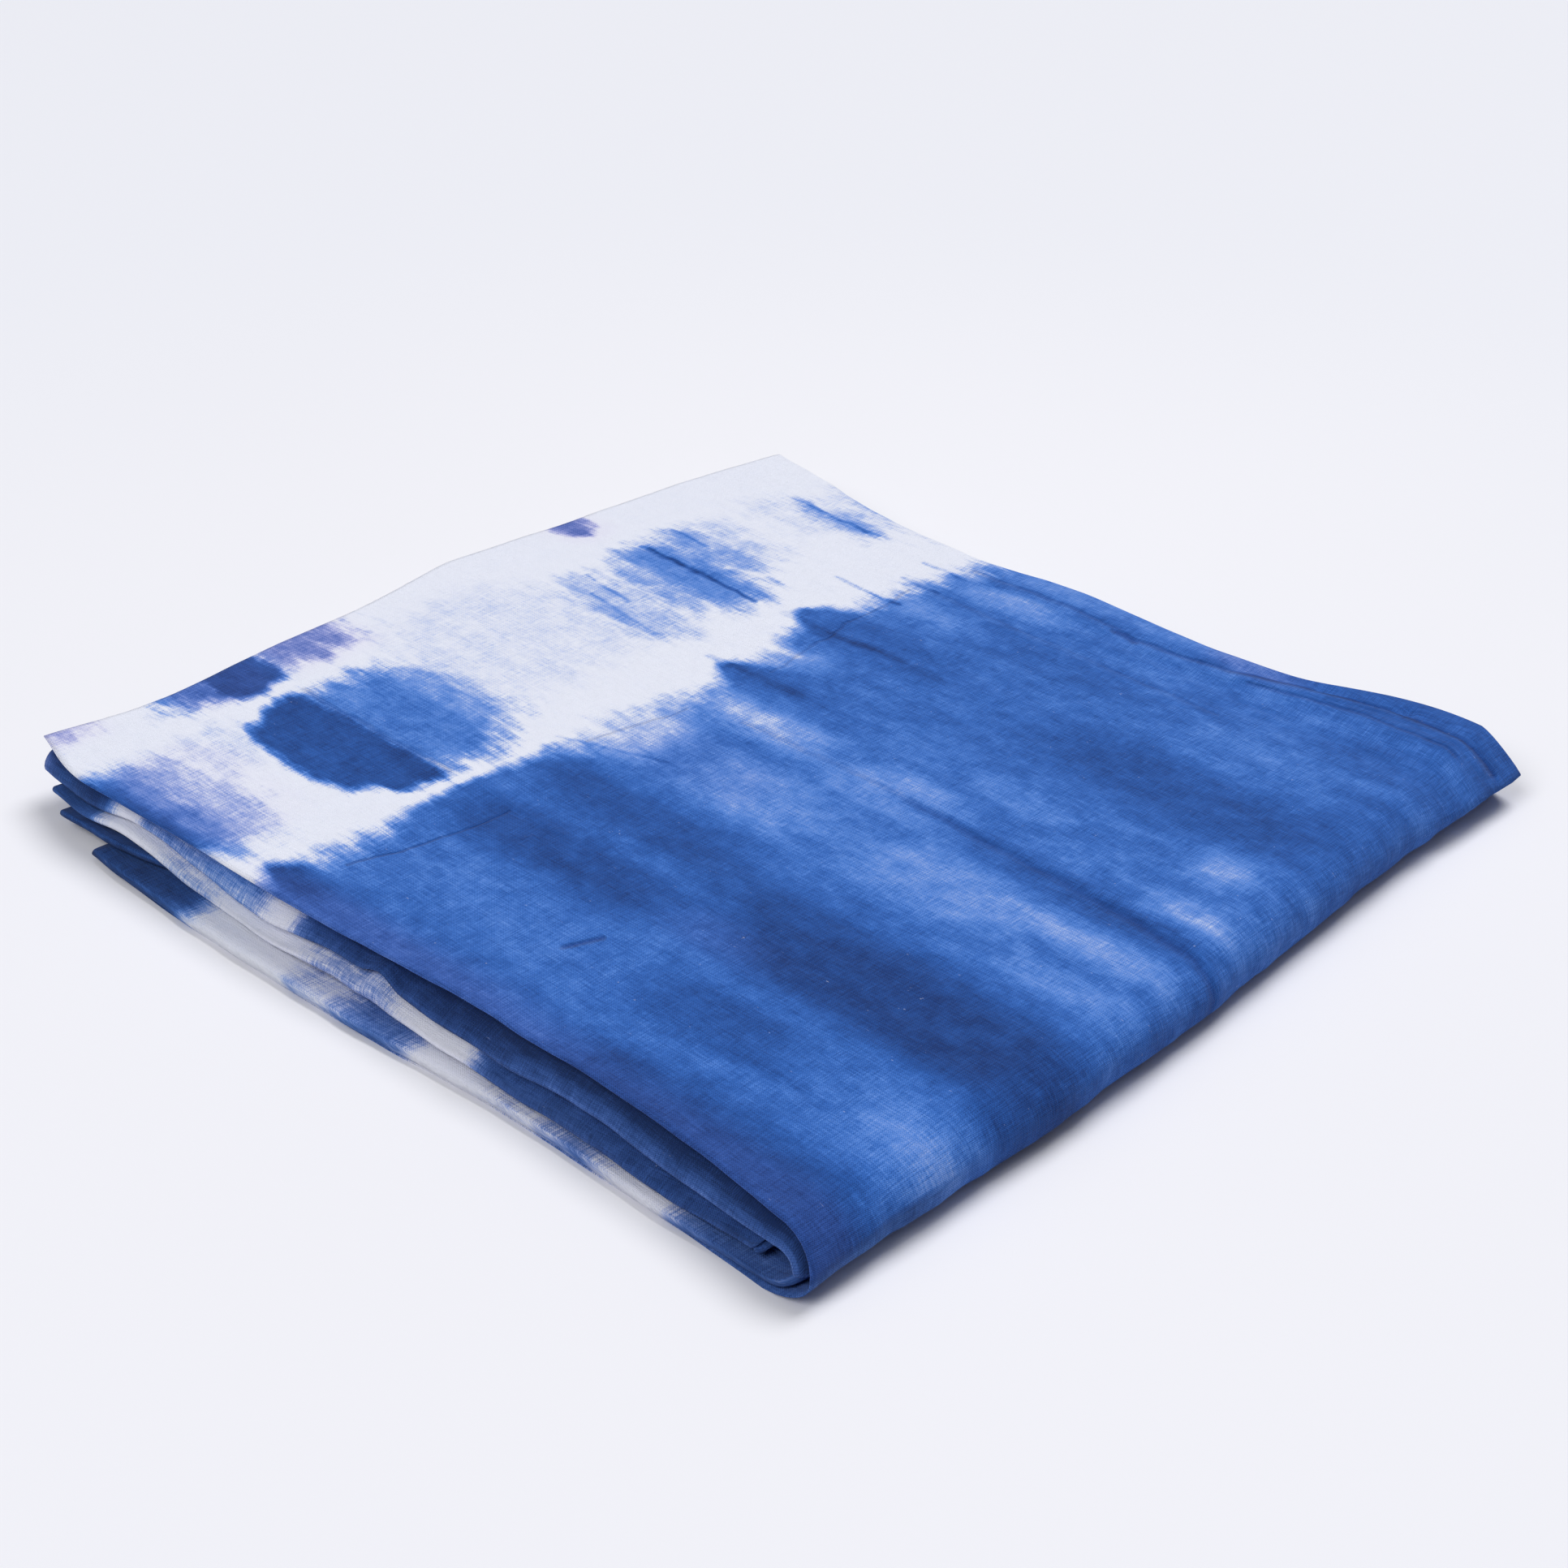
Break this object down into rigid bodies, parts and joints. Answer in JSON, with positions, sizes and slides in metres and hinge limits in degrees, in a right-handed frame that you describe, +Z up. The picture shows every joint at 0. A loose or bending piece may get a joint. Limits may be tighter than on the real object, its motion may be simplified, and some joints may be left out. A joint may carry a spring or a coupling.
{
  "type": "shibori dyed cloth",
  "caption": "Light cotton cloth with a blue and white shibori dye pattern, folded back and forth and then in half into a flat square stack.",
  "frame": {"origin": "centre of the underside's bounding box, on the surface that the folded cloth lies on", "axes": "+Z up through the stack; +X towards the fold in half, +Y towards the back folds; the layered edges face -Y and the cloth's two ends -X"},
  "size_m": [0.4046, 0.3916, 0.027],
  "materials": {
    "dyed_cotton": "matt plain-weave cotton, mid and deep indigo with undyed off-white streaks"
  },
  "bodies": {
    "root": {"folded_cloth": "dyed_cotton"}
  },
  "joints": []
}
